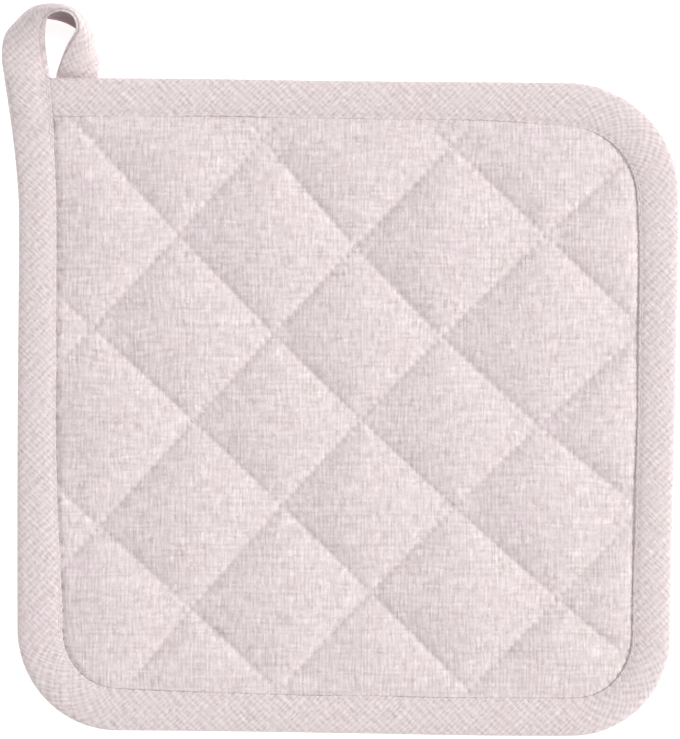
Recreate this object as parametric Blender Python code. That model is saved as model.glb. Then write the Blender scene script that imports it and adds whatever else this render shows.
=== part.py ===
"""Quilted pot holder with a bias-bound edge and a hanging loop at one corner.

It lies flat on its back: +Z is up and +Y points to the edge with the loop.
Lengths are in metres. Tables are in millimetres and are read through MM.
"""

import math

import bmesh
import bpy
from mathutils import Vector
from mathutils.geometry import delaunay_2d_cdt

MM = 0.001

# The quilted square, tape included.
BODY_WIDTH = 201.5 * MM
BODY_HEIGHT = 199.3 * MM
BODY_CENTRE = (2.3 * MM, -12.3 * MM)  # where the square's middle lies in the part's frame
MID_HEIGHT = 4.0 * MM  # the seams' height above the table
CORNER_RADII = {
    "top_left": 0.5 * MM,
    "top_right": 34.0 * MM,
    "bottom_right": 30.0 * MM,
    "bottom_left": 31.0 * MM,
}

# How far each side stands outside the true rectangle, at five stations along it.
SIDE_BULGES = (
    # station, left, right, top, bottom
    (-100.0, 0.0, -2.7, 1.2, -1.6),
    (-50.0, 0.1, -2.1, 1.1, -1.4),
    (0.0, 0.0, -0.9, 0.4, -0.7),
    (50.0, -0.4, 0.1, 0.0, 0.1),
    (100.0, -0.2, 0.3, -0.5, 0.0),
)
LEAN_START = 60.0 * MM  # the left edge leans out to the loop above this height
LEAN_LENGTH = 40.0 * MM
LEAN_REACH = 4.3 * MM
LEAN_FADE = 22.6 * MM  # the lean dies out this far in from the edge

# The tape folded over the pad's edge.
TAPE_WIDTH = 11.7 * MM
TAPE_HALF = 2.35 * MM  # half of the whole bound edge's thickness
TAPE_GAP = 1.2 * MM  # half of the slot that holds the pad
TAPE_FOLD = 1.2 * MM  # cloth between the slot's floor and the outer edge
SEWN_IN = 2.2 * MM  # the row of stitches is this far in from the tape's open edge
TAPE_SIDE = (
    # one side of its section from the stitches out: share of the width, share of the half
    (0.62, 0.97),
    (0.30, 1.00),
    (0.10, 0.80),
    (0.025, 0.45),
)
STITCH_HALF = 0.75  # the share of the cloth's thickness that the stitches leave
LIP_HALF = 0.70  # and the share left at the open edge
TAPE_STEP = 8.0 * MM
PIECE_GAP = 0.3 * MM

# The quilting: evenly spaced seam lines, numbered from the first that shows.
SEAM_ORIGIN = (-52.1 * MM, 51.9 * MM)
STEP_DOWN_LEFT = (-26.7 * MM, -27.8 * MM)  # from one falling seam to the next
STEP_DOWN_RIGHT = (28.4 * MM, -27.5 * MM)  # from one rising seam to the next
FALLING_SEAMS = (
    # number, how far it strays from its even place at stations 0, 2 and 4
    (-2, -0.3, -1.4, -1.2),
    (-1, -1.2, 4.2, -0.6),
    (0, -0.8, 1.0, -1.5),
    (1, -0.9, -2.0, -1.0),
    (2, 4.5, 1.3, 0.8),
)
RISING_SEAMS = (
    # number, how far it strays from its even place at stations -2, 0 and 2
    (0, -4.5, -1.0, 0.2),
    (1, 0.9, 1.4, 3.8),
    (2, 1.0, -0.8, 1.9),
    (3, 2.7, -1.2, -1.2),
    (4, 0.0, 1.2, 0.2),
)
SEAM_HALF = 0.9 * MM  # half of the pad's thickness at a seam and at its rim
CROWN_ABOVE = 4.0 * MM  # from the seams' height to the top of a diamond
CROWN_BELOW = 4.7 * MM  # what the table doesn't press flat would reach this far down
CROWN_FULLNESS = 0.6  # under 1 is a fuller diamond with steeper sides
CROWN_UNEVEN = 0.05  # how much fuller or flatter one diamond is than another
EDGE_RISE = 10.0 * MM  # the pad swells to its full height this far in from the tape
CELL_STEPS = 8
CELL_GRADING = 0.7  # draws the mesh closer to the seams
LATTICE_REACH = (-4, 6)  # seam numbers that cover the whole square
RING_INSET = 1.9 * MM  # the mesh has a ring of edges this far inside the tape
RING_CLEAR = 2.8 * MM  # and its lattice starts this far inside the tape
SEAM_END = 1.5 * MM  # a seam runs on this far under the tape
SEAM_END_STEP = 0.5 * MM
POINT_MERGE = 0.15 * MM  # points of the mesh closer than this are one
EDGE_STEP = 3.6 * MM
CORNER_STEP = 3.6 * MM
SHARP_ANGLE = math.radians(40)

# The corner under the loop is raised by the tape's end behind it.
LIFT_HEIGHT = 0.8 * MM
LIFT_SPREAD = 25.0 * MM
LIFT_PLACE = (18.5 * MM, -5.0 * MM)  # from the square's top left corner

# The loop: where its folded edge and its open edge run, from the top left corner.
WRAP_START = -23.6 * MM  # the loop's own length of tape begins here, below the corner
WRAP_WIDE = -12.6 * MM  # from here up it is wide enough to take in the tape's start
WRAP_HALF = 3.8 * MM
WRAP_GAP = 2.75 * MM
WRAP_STEP = 3.4 * MM
WRAP_CLOSES = 0.4 * MM  # just past the corner its two layers come together
LOOP_GAP = 0.35 * MM
LOOP_SLOT = 1.6 * MM  # how deep the groove between the loop's two layers is
LOOP_ROWS = (
    # folded edge x, y, z, open edge x, y, its rise, half thickness, outward curl
    ("left leg, low", -4.9, 8.2, 3.2, 8.9, 7.7, 2.3, 1.6, 0.2),
    ("left leg, high", -3.3, 15.8, 1.8, 8.3, 13.8, 7.6, 1.4, 0.9),
    ("left shoulder", 2.4, 21.0, 0.7, 9.1, 18.8, 12.1, 1.4, 1.7),
    ("top", 10.0, 21.6, 0.4, 13.1, 21.3, 13.6, 1.4, 2.0),
    ("top right", 16.9, 19.2, 0.4, 17.0, 20.1, 13.6, 1.4, 2.0),
    ("right shoulder", 22.4, 14.0, 0.5, 19.1, 15.6, 12.8, 1.4, 1.6),
    ("right leg, high", 25.0, 7.8, 0.9, 16.7, 10.2, 9.2, 1.3, 0.8),
    ("right leg, low", 25.2, 3.4, 1.2, 14.2, 5.0, 4.4, 1.1, 0.2),
    ("at the edge", 24.9, -0.6, 1.2, 12.9, 0.9, 0.5, 0.95, 0.0),
    ("tail end", 24.5, -11.0, 1.2, 12.3, -11.0, 0.0, 0.95, 0.0),
)
LOOP_STEPS = 5

CLOTHS = {
    "panel_cloth": (0.77, 0.67, 0.67),
    "tape_cloth": (0.75, 0.66, 0.66),
    "loop_cloth": (0.77, 0.67, 0.68),
}
CLOTH_ROUGHNESS = 0.9


def clear_scene():
    """Empty the file of objects."""
    for item in list(bpy.data.objects):
        bpy.data.objects.remove(item, do_unlink=True)


def make_material(name):
    """A Principled material in one cloth's colour."""
    material = bpy.data.materials.new(name)
    material.use_nodes = True
    shader = material.node_tree.nodes["Principled BSDF"]
    shader.inputs["Base Color"].default_value = (*CLOTHS[name], 1.0)
    shader.inputs["Roughness"].default_value = CLOTH_ROUGHNESS
    shader.inputs["Metallic"].default_value = 0.0
    return material


def add_object(name, bm, material, collection):
    """Turn a bmesh into a smooth-shaded object in the pot holder's collection."""
    bmesh.ops.recalc_face_normals(bm, faces=bm.faces[:])
    mesh = bpy.data.meshes.new(name)
    bm.to_mesh(mesh)
    bm.free()
    mesh.shade_smooth()
    mesh.set_sharp_from_angle(angle=SHARP_ANGLE)
    mesh.materials.append(material)
    item = bpy.data.objects.new(name, mesh)
    item.location = (*BODY_CENTRE, 0.0)
    collection.objects.link(item)
    return item


def cubic(before, start, end, after, part):
    """A value between start and end on the smooth curve through all four."""
    return 0.5 * (
        2.0 * start
        + (end - before) * part
        + (2.0 * before - 5.0 * start + 4.0 * end - after) * part**2
        + (3.0 * start - before - 3.0 * end + after) * part**3
    )


def bulge(column, place):
    """How far a side stands out at a place along it."""
    stations = [row[0] * MM for row in SIDE_BULGES]
    values = [row[column] * MM for row in SIDE_BULGES]
    spacing = stations[1] - stations[0]
    last = len(stations) - 1
    along = min(max((place - stations[0]) / spacing, 0.0), last - 1e-6)
    low = int(along)
    near = [values[min(max(low + step, 0), last)] for step in (-1, 0, 1, 2)]
    return cubic(*near, along - low)


def from_true_square(x, y):
    """Carry a point of the true rectangle to the real, slightly uneven one."""
    across = x / BODY_WIDTH
    up = y / BODY_HEIGHT
    climb = max(y - LEAN_START, 0.0) / LEAN_LENGTH
    inward = max(1.0 - (x + BODY_WIDTH / 2) / LEAN_FADE, 0.0)
    shift_x = bulge(2, y) * (0.5 + across) - bulge(1, y) * (0.5 - across)
    shift_x -= LEAN_REACH * climb**1.5 * min(inward, 1.0)
    shift_y = bulge(3, x) * (0.5 + up) - bulge(4, x) * (0.5 - up)
    return x + shift_x, y + shift_y


def to_true_square(x, y):
    """Undo from_true_square."""
    true_x, true_y = x, y
    for _ in range(6):
        real_x, real_y = from_true_square(true_x, true_y)
        true_x += x - real_x
        true_y += y - real_y
    return true_x, true_y


def lift(x, y):
    """How far the corner over the tape's end is raised."""
    away_x = x + BODY_WIDTH / 2 - LIFT_PLACE[0]
    away_y = y - BODY_HEIGHT / 2 - LIFT_PLACE[1]
    return LIFT_HEIGHT * math.exp(-(away_x**2 + away_y**2) / (2 * LIFT_SPREAD**2))


def corner_radius(x, y):
    side = "right" if x > 0 else "left"
    return CORNER_RADII[f"{'top' if y > 0 else 'bottom'}_{side}"]


def depth_inside(x, y):
    """How far a point of the true rectangle is inside its rounded outline."""
    radius = corner_radius(x, y)
    out_x = abs(x) - BODY_WIDTH / 2 + radius
    out_y = abs(y) - BODY_HEIGHT / 2 + radius
    outside = math.hypot(max(out_x, 0.0), max(out_y, 0.0))
    return radius - outside - min(max(out_x, out_y), 0.0)


def corner_arc(name, centre_sign, first_angle, inset):
    """Points and inward directions round one corner, clockwise."""
    radius = CORNER_RADII[name]
    centre = Vector((
        centre_sign[0] * (BODY_WIDTH / 2 - radius),
        centre_sign[1] * (BODY_HEIGHT / 2 - radius),
    ))
    steps = max(2, round(radius * math.pi / 2 / CORNER_STEP))
    arc = []
    for index in range(steps + 1):
        angle = math.radians(first_angle - 90.0 * index / steps)
        out = Vector((math.cos(angle), math.sin(angle)))
        arc.append((centre + out * (radius - inset), -out))
    return arc


def straight(start, end, step):
    """Points between two outline points, both left out, with their inward direction."""
    (from_point, inward), (to_point, _) = start, end
    steps = max(1, round((to_point - from_point).length / step))
    return [(from_point.lerp(to_point, index / steps), inward) for index in range(1, steps)]


def rounded_outline(inset, step):
    """The true rectangle's outline, moved in, clockwise from the left end of its top side."""
    corners = (
        corner_arc("top_right", (1, 1), 90.0, inset),
        corner_arc("bottom_right", (1, -1), 0.0, inset),
        corner_arc("bottom_left", (-1, -1), -90.0, inset),
    )
    left = -BODY_WIDTH / 2 + inset
    top = BODY_HEIGHT / 2 - inset
    first = (Vector((left, top)), Vector((0.0, -1.0)))
    last = (Vector((left, top)), Vector((1.0, 0.0)))
    outline = [first, *straight(first, corners[0][0], step)]
    for corner, following in zip(corners, (*corners[1:], (last,))):
        outline += [*corner, *straight(corner[-1], following[0], step)]
    outline.append(last)
    return outline


# ---- the quilted pad ----


def stray(rows, stations, line, place):
    """How far the seams near a line stray from their even places, at a place along it."""
    first, last = rows[0][0], rows[-1][0]
    inside = min(max(line, first), last - 1e-9)
    low = int(math.floor(inside)) - first
    a, b, c = stations
    place = min(max(place, a - 1.0), c + 1.0)
    weights = (
        (place - b) * (place - c) / ((a - b) * (a - c)),
        (place - a) * (place - c) / ((b - a) * (b - c)),
        (place - a) * (place - b) / ((c - a) * (c - b)),
    )
    ends = [
        sum(weight * value for weight, value in zip(weights, rows[index][1:])) * MM
        for index in (low, low + 1)
    ]
    part = inside - first - low
    return ends[0] * (1.0 - part) + ends[1] * part


def seam_shift(falling, rising):
    """The stray in both directions at a place in the lattice, in lattice steps."""
    return (
        stray(FALLING_SEAMS, (0.0, 2.0, 4.0), falling, rising) / math.hypot(*STEP_DOWN_LEFT),
        stray(RISING_SEAMS, (-2.0, 0.0, 2.0), rising, falling) / math.hypot(*STEP_DOWN_RIGHT),
    )


def lattice_point(falling, rising):
    """Where a place in the lattice of seams lies on the pad."""
    shift = seam_shift(falling, rising)
    u, v = falling + shift[0], rising + shift[1]
    return Vector((
        SEAM_ORIGIN[0] + u * STEP_DOWN_LEFT[0] + v * STEP_DOWN_RIGHT[0],
        SEAM_ORIGIN[1] + u * STEP_DOWN_LEFT[1] + v * STEP_DOWN_RIGHT[1],
    ))


def lattice_place(x, y):
    """Undo lattice_point."""
    a, b = STEP_DOWN_LEFT, STEP_DOWN_RIGHT
    away_x, away_y = x - SEAM_ORIGIN[0], y - SEAM_ORIGIN[1]
    scale = a[0] * b[1] - b[0] * a[1]
    even = (
        (away_x * b[1] - b[0] * away_y) / scale,
        (a[0] * away_y - away_x * a[1]) / scale,
    )
    falling, rising = even
    for _ in range(8):
        shift = seam_shift(falling, rising)
        falling, rising = even[0] - shift[0], even[1] - shift[1]
    return falling, rising


def swell(place, rows):
    """0 on a seam, 1 midway between two, and 1 well outside the last one."""
    first, last = rows[0][0], rows[-1][0]
    if first < place < last:
        return math.sin(math.pi * (place - math.floor(place)))
    beyond = max(first - place, place - last)
    return math.sin(math.pi / 2 * min(1.0, 2.0 * beyond))


def fullness(x, y):
    """How full the pad is at a real point, from 0 on a seam or at the tape to 1."""
    falling, rising = lattice_place(x, y)
    between = max(swell(falling, FALLING_SEAMS), 0.0) * max(swell(rising, RISING_SEAMS), 0.0)
    inside = depth_inside(*to_true_square(x, y)) - TAPE_WIDTH - PIECE_GAP
    edge = math.sin(math.pi / 2 * min(max(inside / EDGE_RISE, 0.0), 1.0))
    uneven = 1.0 + CROWN_UNEVEN * math.sin(2.3 * falling + 1.0) * math.cos(1.7 * rising - 0.4)
    return uneven * (between * edge) ** CROWN_FULLNESS


def graded(place):
    """Move a place in the lattice closer to the nearest seam."""
    return place - CELL_GRADING * math.sin(2.0 * math.pi * place) / (2.0 * math.pi)


def pad_sheet():
    """The pad seen from above: its points, edges kept whole and its outline."""
    points, edges = [], []

    def closed_ring(inset):
        ring = [Vector(from_true_square(*point)) for point, _ in rounded_outline(inset, EDGE_STEP)]
        ring = [p for index, p in enumerate(ring) if (p - ring[index - 1]).length > POINT_MERGE]
        first = len(points)
        points.extend(ring)
        numbers = list(range(first, len(points)))
        edges.extend(zip(numbers, numbers[1:] + numbers[:1]))
        return numbers

    rim = closed_ring(TAPE_FOLD + PIECE_GAP)
    closed_ring(TAPE_WIDTH + PIECE_GAP)
    closed_ring(TAPE_WIDTH + PIECE_GAP + RING_INSET)
    keep_clear = TAPE_WIDTH + PIECE_GAP + RING_CLEAR
    falling_range = (FALLING_SEAMS[0][0], FALLING_SEAMS[-1][0])
    rising_range = (RISING_SEAMS[0][0], RISING_SEAMS[-1][0])
    ticks = range(LATTICE_REACH[0] * CELL_STEPS, LATTICE_REACH[1] * CELL_STEPS + 1)
    seams = {}
    for u in ticks:
        for v in ticks:
            point = lattice_point(graded(u / CELL_STEPS), graded(v / CELL_STEPS))
            if depth_inside(*to_true_square(*point)) <= keep_clear:
                continue
            points.append(point)
            if u % CELL_STEPS == 0 and falling_range[0] <= u // CELL_STEPS <= falling_range[1]:
                seams.setdefault(("falling", u), []).append(len(points) - 1)
            if v % CELL_STEPS == 0 and rising_range[0] <= v // CELL_STEPS <= rising_range[1]:
                seams.setdefault(("rising", v), []).append(len(points) - 1)
    for seam in seams.values():
        edges.extend(zip(seam, seam[1:]))
        for end, inner in ((seam[0], seam[1]), (seam[-1], seam[-2])):
            towards = (points[end] - points[inner]).normalized()
            outer = points[end].copy()
            while depth_inside(*to_true_square(*outer)) > TAPE_WIDTH - SEAM_END:
                outer += towards * SEAM_END_STEP
            points.append(outer)
            edges.append((end, len(points) - 1))
    return points, edges, rim


def make_pad(material, collection):
    """One filled solid: crowned diamonds on both faces and sewn channels between them."""
    points, edges, rim = pad_sheet()
    sheet = delaunay_2d_cdt(points, edges, [rim], 1, POINT_MERGE)
    bm = bmesh.new()
    below = [bm.verts.new((*point, 0.0)) for point in sheet[0]]
    for face in sheet[2]:
        bm.faces.new([below[index] for index in face])
    grown = bmesh.ops.extrude_face_region(bm, geom=bm.faces[:], use_keep_orig=True)
    above = {item for item in grown["geom"] if isinstance(item, bmesh.types.BMVert)}
    for vert in bm.verts:
        x, y = vert.co.x, vert.co.y
        full = fullness(x, y)
        raised = MID_HEIGHT + lift(x, y)
        if vert in above:
            vert.co.z = raised + SEAM_HALF + (CROWN_ABOVE - SEAM_HALF) * full
        else:
            vert.co.z = max(raised - SEAM_HALF - (CROWN_BELOW - SEAM_HALF) * full, 0.0)
    return add_object("quilted_pad", bm, material, collection)


# ---- the folded tape ----


def tape_section(width, half, gap, slot):
    """The folded tape cut across: (in from the folded edge, up), all the way round."""
    side = (
        (width, gap),
        (width, gap + LIP_HALF * (half - gap)),
        (width - SEWN_IN, gap + STITCH_HALF * (half - gap)),
        *((share * width, rise * half) for share, rise in TAPE_SIDE),
    )
    section = [*side, (0.0, 0.0), *((a, -z) for a, z in reversed(side))]
    return [*section, (width - slot, -gap), (width - slot, gap)]


def sweep_tape(name, rows, material, collection):
    """Join sections along a run; a row is folded edge, open edge, half, gap, slot and curl."""
    bm = bmesh.new()
    rings = []
    middles = [(row[0] + row[1]) / 2 for row in rows]
    for index, (folded, opened, half, gap, slot, curl) in enumerate(rows):
        run = middles[min(index + 1, len(rows) - 1)] - middles[max(index - 1, 0)]
        across = opened - folded
        width = across.length
        outward = across.cross(run).normalized()
        ring = []
        for inward, up in tape_section(width, half, gap, slot):
            part = inward / width
            bow = curl * 4.0 * part * (1.0 - part)
            ring.append(bm.verts.new(folded + across * part + outward * (up + bow)))
        rings.append(ring)
    for ring, following in zip(rings, rings[1:]):
        count = len(ring)
        for index in range(count):
            after = (index + 1) % count
            bm.faces.new((ring[index], ring[after], following[after], following[index]))
    bm.faces.new(rings[0])
    bm.faces.new(list(reversed(rings[-1])))
    bm.normal_update()
    ends = [face for face in bm.faces if len(face.verts) > 4]
    bmesh.ops.triangulate(bm, faces=ends, ngon_method="EAR_CLIP")
    return add_object(name, bm, material, collection)


def body_row(point, inward, half=TAPE_HALF, gap=TAPE_GAP):
    """One section of tape on the pad's edge, from a point of the true outline."""
    ends = []
    for reach in (0.0, TAPE_WIDTH):
        x, y = from_true_square(*(point + inward * reach))
        ends.append(Vector((x, y, MID_HEIGHT + lift(x, y))))
    slot = (ends[1] - ends[0]).length - TAPE_FOLD
    return (*ends, half, gap, slot, 0.0)


def make_binding(material, collection):
    """The tape from the top left corner clockwise round and up the left side."""
    start_gap = TAPE_FOLD + PIECE_GAP
    seam_height = BODY_HEIGHT / 2 + WRAP_START
    outline = rounded_outline(0.0, TAPE_STEP)[:-1]
    rows = []
    for point, inward in outline:
        if not rows:
            point = point + Vector((start_gap, 0.0))
        if inward.x > 0.99 and point.y > seam_height - TAPE_STEP / 2:
            break
        rows.append(body_row(point, inward))
    rows.append(body_row(Vector((-BODY_WIDTH / 2, seam_height)), Vector((1.0, 0.0))))
    return sweep_tape("binding", rows, material, collection)


def wrap_rows():
    """The loop's tape round the corner, over the binding's start."""
    top = BODY_HEIGHT / 2
    start = WRAP_START + PIECE_GAP
    steps = round((WRAP_WIDE - start) / WRAP_STEP)
    heights = [start + (WRAP_WIDE - start) * index / steps for index in range(steps)]
    heights += [WRAP_WIDE, WRAP_WIDE / 2, 0.0, WRAP_CLOSES]
    rows = []
    for height in heights:
        part = min(max((height - start) / (WRAP_WIDE - start), 0.0), 1.0)
        part = part * part * (3.0 - 2.0 * part)
        half = TAPE_HALF + (WRAP_HALF - TAPE_HALF) * part
        gap = TAPE_GAP + (WRAP_GAP - TAPE_GAP) * part
        rows.append(body_row(Vector((-BODY_WIDTH / 2, top + height)), Vector((1.0, 0.0)), half, gap))
    return rows


def loop_rows(wrap):
    """The free loop from the corner round to the tape's end behind the top edge."""
    corner = Vector((-BODY_WIDTH / 2, BODY_HEIGHT / 2, 0.0))
    folded, opened, half, _, _, _ = wrap[-1]
    closing = (folded, opened, half, LOOP_GAP, LOOP_SLOT, 0.0)
    marks = [wrap[-2], closing]
    for _, fx, fy, fz, ox, oy, rise, half, curl in LOOP_ROWS:
        folded = corner + Vector((fx, fy, fz)) * MM
        opened = corner + Vector((ox, oy, fz + rise)) * MM
        marks.append((folded, opened, half * MM, LOOP_GAP, LOOP_SLOT, curl * MM))
    marks.append(marks[-1])
    rows = []
    for index in range(1, len(marks) - 2):
        near = marks[index - 1:index + 3]
        for step in range(LOOP_STEPS):
            if index == 1 and step == 0:
                continue
            part = step / LOOP_STEPS
            rows.append(tuple(
                cubic(*(mark[column] for mark in near), part) for column in range(6)
            ))
    rows.append(marks[-1])
    return rows


def make_loop(material, collection):
    """The tape's last length: round the corner, up, over and down behind."""
    wrap = wrap_rows()
    return sweep_tape("hanging_loop", wrap + loop_rows(wrap), material, collection)


def main():
    clear_scene()
    collection = bpy.data.collections.new("pot_holder")
    bpy.context.scene.collection.children.link(collection)
    make_pad(make_material("panel_cloth"), collection)
    make_binding(make_material("tape_cloth"), collection)
    make_loop(make_material("loop_cloth"), collection)


main()
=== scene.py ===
import math

import bmesh
import bpy
import numpy as np
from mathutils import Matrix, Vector
from mathutils.geometry import delaunay_2d_cdt


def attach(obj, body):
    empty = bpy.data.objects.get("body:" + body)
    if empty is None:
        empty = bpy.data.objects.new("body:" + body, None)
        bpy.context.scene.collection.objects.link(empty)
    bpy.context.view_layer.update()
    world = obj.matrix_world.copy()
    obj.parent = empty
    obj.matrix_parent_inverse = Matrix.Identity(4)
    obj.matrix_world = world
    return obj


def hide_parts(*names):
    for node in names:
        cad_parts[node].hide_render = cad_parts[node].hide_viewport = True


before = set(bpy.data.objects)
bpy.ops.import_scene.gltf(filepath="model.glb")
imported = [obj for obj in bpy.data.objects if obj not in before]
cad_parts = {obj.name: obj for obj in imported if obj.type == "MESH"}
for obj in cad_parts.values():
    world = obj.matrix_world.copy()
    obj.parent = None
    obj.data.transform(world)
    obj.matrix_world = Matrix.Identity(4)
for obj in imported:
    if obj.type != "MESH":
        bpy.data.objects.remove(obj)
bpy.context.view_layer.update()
print("frame loaded:", ", ".join(sorted(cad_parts)))

mm = 0.001  # every table below is in millimetres, measured from the middle of the quilted square
hills = {"count": 97, "start": 211.0}  # soft noise repeats after this many hills, and is read from here


# The bound square and how it differs from a true one.
square = {
    "width": 201.5,
    "height": 199.3,
    "middle": (2.3, -12.3),  # where it lies in the frame
    "seamHeight": 4.0,  # the quilting seams and the tape's middle are this high above the table
    "radii": {"top left": 0.5, "top right": 34.0, "bottom right": 30.0, "bottom left": 31.0},
    "sideBulges": (  # place along the side, then how far left, right, top and bottom stand out
        (-100.0, 0.0, -2.7, 1.2, -1.6),
        (-50.0, 0.1, -2.1, 1.1, -1.4),
        (0.0, 0.0, -0.9, 0.4, -0.7),
        (50.0, -0.4, 0.1, 0.0, 0.1),
        (100.0, -0.2, 0.3, -0.5, 0.0),
    ),
    "leanStart": 60.0,  # above here the left edge leans out to the loop
    "leanLength": 40.0,
    "leanReach": 4.3,
    "leanFade": 22.6,
    "leanPower": 1.5,
    "liftHeight": 0.8,  # the corner over the tape's end is raised
    "liftSpread": 25.0,
    "liftPlace": (18.5, -5.0),
}


def cubic(before, start, end, after, part):
    return 0.5 * (
        2.0 * start
        + (end - before) * part
        + (2.0 * before - 5.0 * start + 4.0 * end - after) * part**2
        + (3.0 * start - before - 3.0 * end + after) * part**3
    )


def limited(value):
    return np.clip(value, 0.0, 1.0)


def bell(distance, reach):
    return np.exp(-((distance / reach) ** 2))


def readGrid(grid, u, v):
    # a smooth value between the rows v and columns u of a grid
    i, j = np.floor(u).astype(int), np.floor(v).astype(int)
    rows = []
    for down in (-1, 0, 1, 2):
        row = [grid[(j + down) % len(grid), (i + across) % len(grid)] for across in (-1, 0, 1, 2)]
        rows.append(cubic(*row, u - i))
    return cubic(*rows, v - j)


def softNoise(x, y, size, seed):
    # smooth hills and hollows about one size across, from -1 to 1, the same each run
    grid = np.random.default_rng(seed).uniform(-1.0, 1.0, (hills["count"], hills["count"]))
    return readGrid(grid, *(np.asarray(place) / size + hills["start"] for place in (x, y)))


def bulge(side, place):
    table = np.array(square["sideBulges"])
    column = 1 + ("left", "right", "top", "bottom").index(side)
    last = len(table) - 1
    along = (place - table[0, 0]) / (table[1, 0] - table[0, 0])
    along = np.clip(along, 0.0, last - 1e-6)
    low = np.floor(along).astype(int)
    near = [table[np.clip(low + step, 0, last), column] for step in (-1, 0, 1, 2)]
    return cubic(*near, along - low)


def fromTrueSquare(x, y):
    across, up = x / square["width"], y / square["height"]
    climb = np.maximum(y - square["leanStart"], 0.0) / square["leanLength"]
    inward = limited(1.0 - (x + square["width"] / 2) / square["leanFade"])
    shiftX = bulge("right", y) * (0.5 + across) - bulge("left", y) * (0.5 - across)
    shiftY = bulge("top", x) * (0.5 + up) - bulge("bottom", x) * (0.5 - up)
    return x + shiftX - square["leanReach"] * climb ** square["leanPower"] * inward, y + shiftY


def toTrueSquare(x, y):
    trueX, trueY = np.array(x, float), np.array(y, float)
    for _ in range(6):
        realX, realY = fromTrueSquare(trueX, trueY)
        trueX, trueY = trueX + x - realX, trueY + y - realY
    return trueX, trueY


def cornerLift(x, y):
    awayX = x + square["width"] / 2 - square["liftPlace"][0]
    awayY = y - square["height"] / 2 - square["liftPlace"][1]
    return square["liftHeight"] * np.exp(-(awayX**2 + awayY**2) / (2 * square["liftSpread"] ** 2))


def outlinePoints(inset, step):
    # the true outline moved in, clockwise from the top left corner, with its inward directions
    radii = square["radii"]
    half = np.array((square["width"] / 2, square["height"] / 2))
    start = np.array((-half[0] + inset, half[1] - inset))
    points, inward = [start], [np.array((0.0, -1.0))]

    def goTo(point, direction):
        steps = max(1, round(np.linalg.norm(point - points[-1]) / step))
        first = points[-1]
        for index in range(1, steps + 1):
            points.append(first + (point - first) * index / steps)
            inward.append(direction)

    for name, sign, firstAngle in (
        ("top right", (1, 1), 90.0), ("bottom right", (1, -1), 0.0), ("bottom left", (-1, -1), -90.0)
    ):
        centre = np.array(sign) * (half - radii[name])
        steps = max(2, round(radii[name] * math.pi / 2 / step))
        for index in range(steps + 1):
            angle = math.radians(firstAngle - 90.0 * index / steps)
            out = np.array((math.cos(angle), math.sin(angle)))
            point = centre + out * (radii[name] - inset)
            if index == 0:
                goTo(point, -out)
            else:
                points.append(point)
                inward.append(-out)
    goTo(start, np.array((1.0, 0.0)))
    return np.array(points), np.array(inward)


def facesOutwards(piece):
    bm = bmesh.new()
    bm.from_mesh(piece.data)
    bmesh.ops.recalc_face_normals(bm, faces=bm.faces[:])
    bm.to_mesh(piece.data)
    bm.free()
    return piece


def addObject(name, data):
    made = bpy.data.objects.new(name, data)
    bpy.context.scene.collection.objects.link(made)
    return made


def meshObject(name, points, faces, material, uv, paintedShadeAndLight=None):
    mesh = bpy.data.meshes.new(name)
    placed = np.array(points, float)
    placed[:, :2] += square["middle"]
    mesh.from_pydata(placed * mm, [], faces)
    loops = np.empty(len(mesh.loops), np.int32)
    mesh.loops.foreach_get("vertex_index", loops)
    layer = mesh.uv_layers.new(name="weave")
    layer.data.foreach_set("uv", (np.array(uv)[loops] * mm).ravel().astype(np.float32))
    # the tape's painted shade inside the loop and painted light on its turned-in edge, kept as an
    # attribute
    if paintedShadeAndLight is not None:
        layer = mesh.attributes.new("paintedShadeAndLight", "FLOAT", "POINT")
        layer.data.foreach_set("value", np.array(paintedShadeAndLight, np.float32))
    mesh.shade_smooth()
    mesh.materials.append(material)
    return facesOutwards(addObject(name, mesh))


def newMaterial(name, finish):
    material = bpy.data.materials.new(name)
    material.use_nodes = True
    shader = material.node_tree.nodes["Principled BSDF"]
    for socket, value in finish.items():
        shader.inputs[socket].default_value = value
    return material, material.node_tree, shader


def addNode(tree, kind, inputs=(), **settings):
    node = tree.nodes.new(kind)
    for key, value in settings.items():
        setattr(node, key, value)
    for socket, value in dict(inputs).items():
        if isinstance(value, bpy.types.NodeSocket):
            tree.links.new(value, node.inputs[socket])
        else:
            node.inputs[socket].default_value = value
    return node


def output(tree, kind, inputs=(), **settings):
    return addNode(tree, kind, inputs, **settings).outputs[0]


def maths(tree, operation, *values):
    return output(tree, "ShaderNodeMath", dict(enumerate(values)), operation=operation)


def vectorMaths(tree, operation, *values):
    return output(tree, "ShaderNodeVectorMath", dict(enumerate(values)), operation=operation)


def scaled(tree, vector, factor):
    return output(tree, "ShaderNodeVectorMath", {0: vector, 3: factor}, operation="SCALE")


def combined(tree, x=0.0, y=0.0, z=0.0):
    return output(tree, "ShaderNodeCombineXYZ", {0: x, 1: y, 2: z})


def mixColours(tree, blend, share, first, second):
    inputs, settings = {0: share, 6: first, 7: second}, {"data_type": "RGBA", "blend_type": blend}
    return addNode(tree, "ShaderNodeMix", inputs, clamp_factor=True, **settings).outputs[2]


def addSockets(group, direction, **kinds):
    for kind, names in kinds.items():
        for name in names:
            group.interface.new_socket(name, in_out=direction, socket_type="NodeSocket" + kind)


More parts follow.
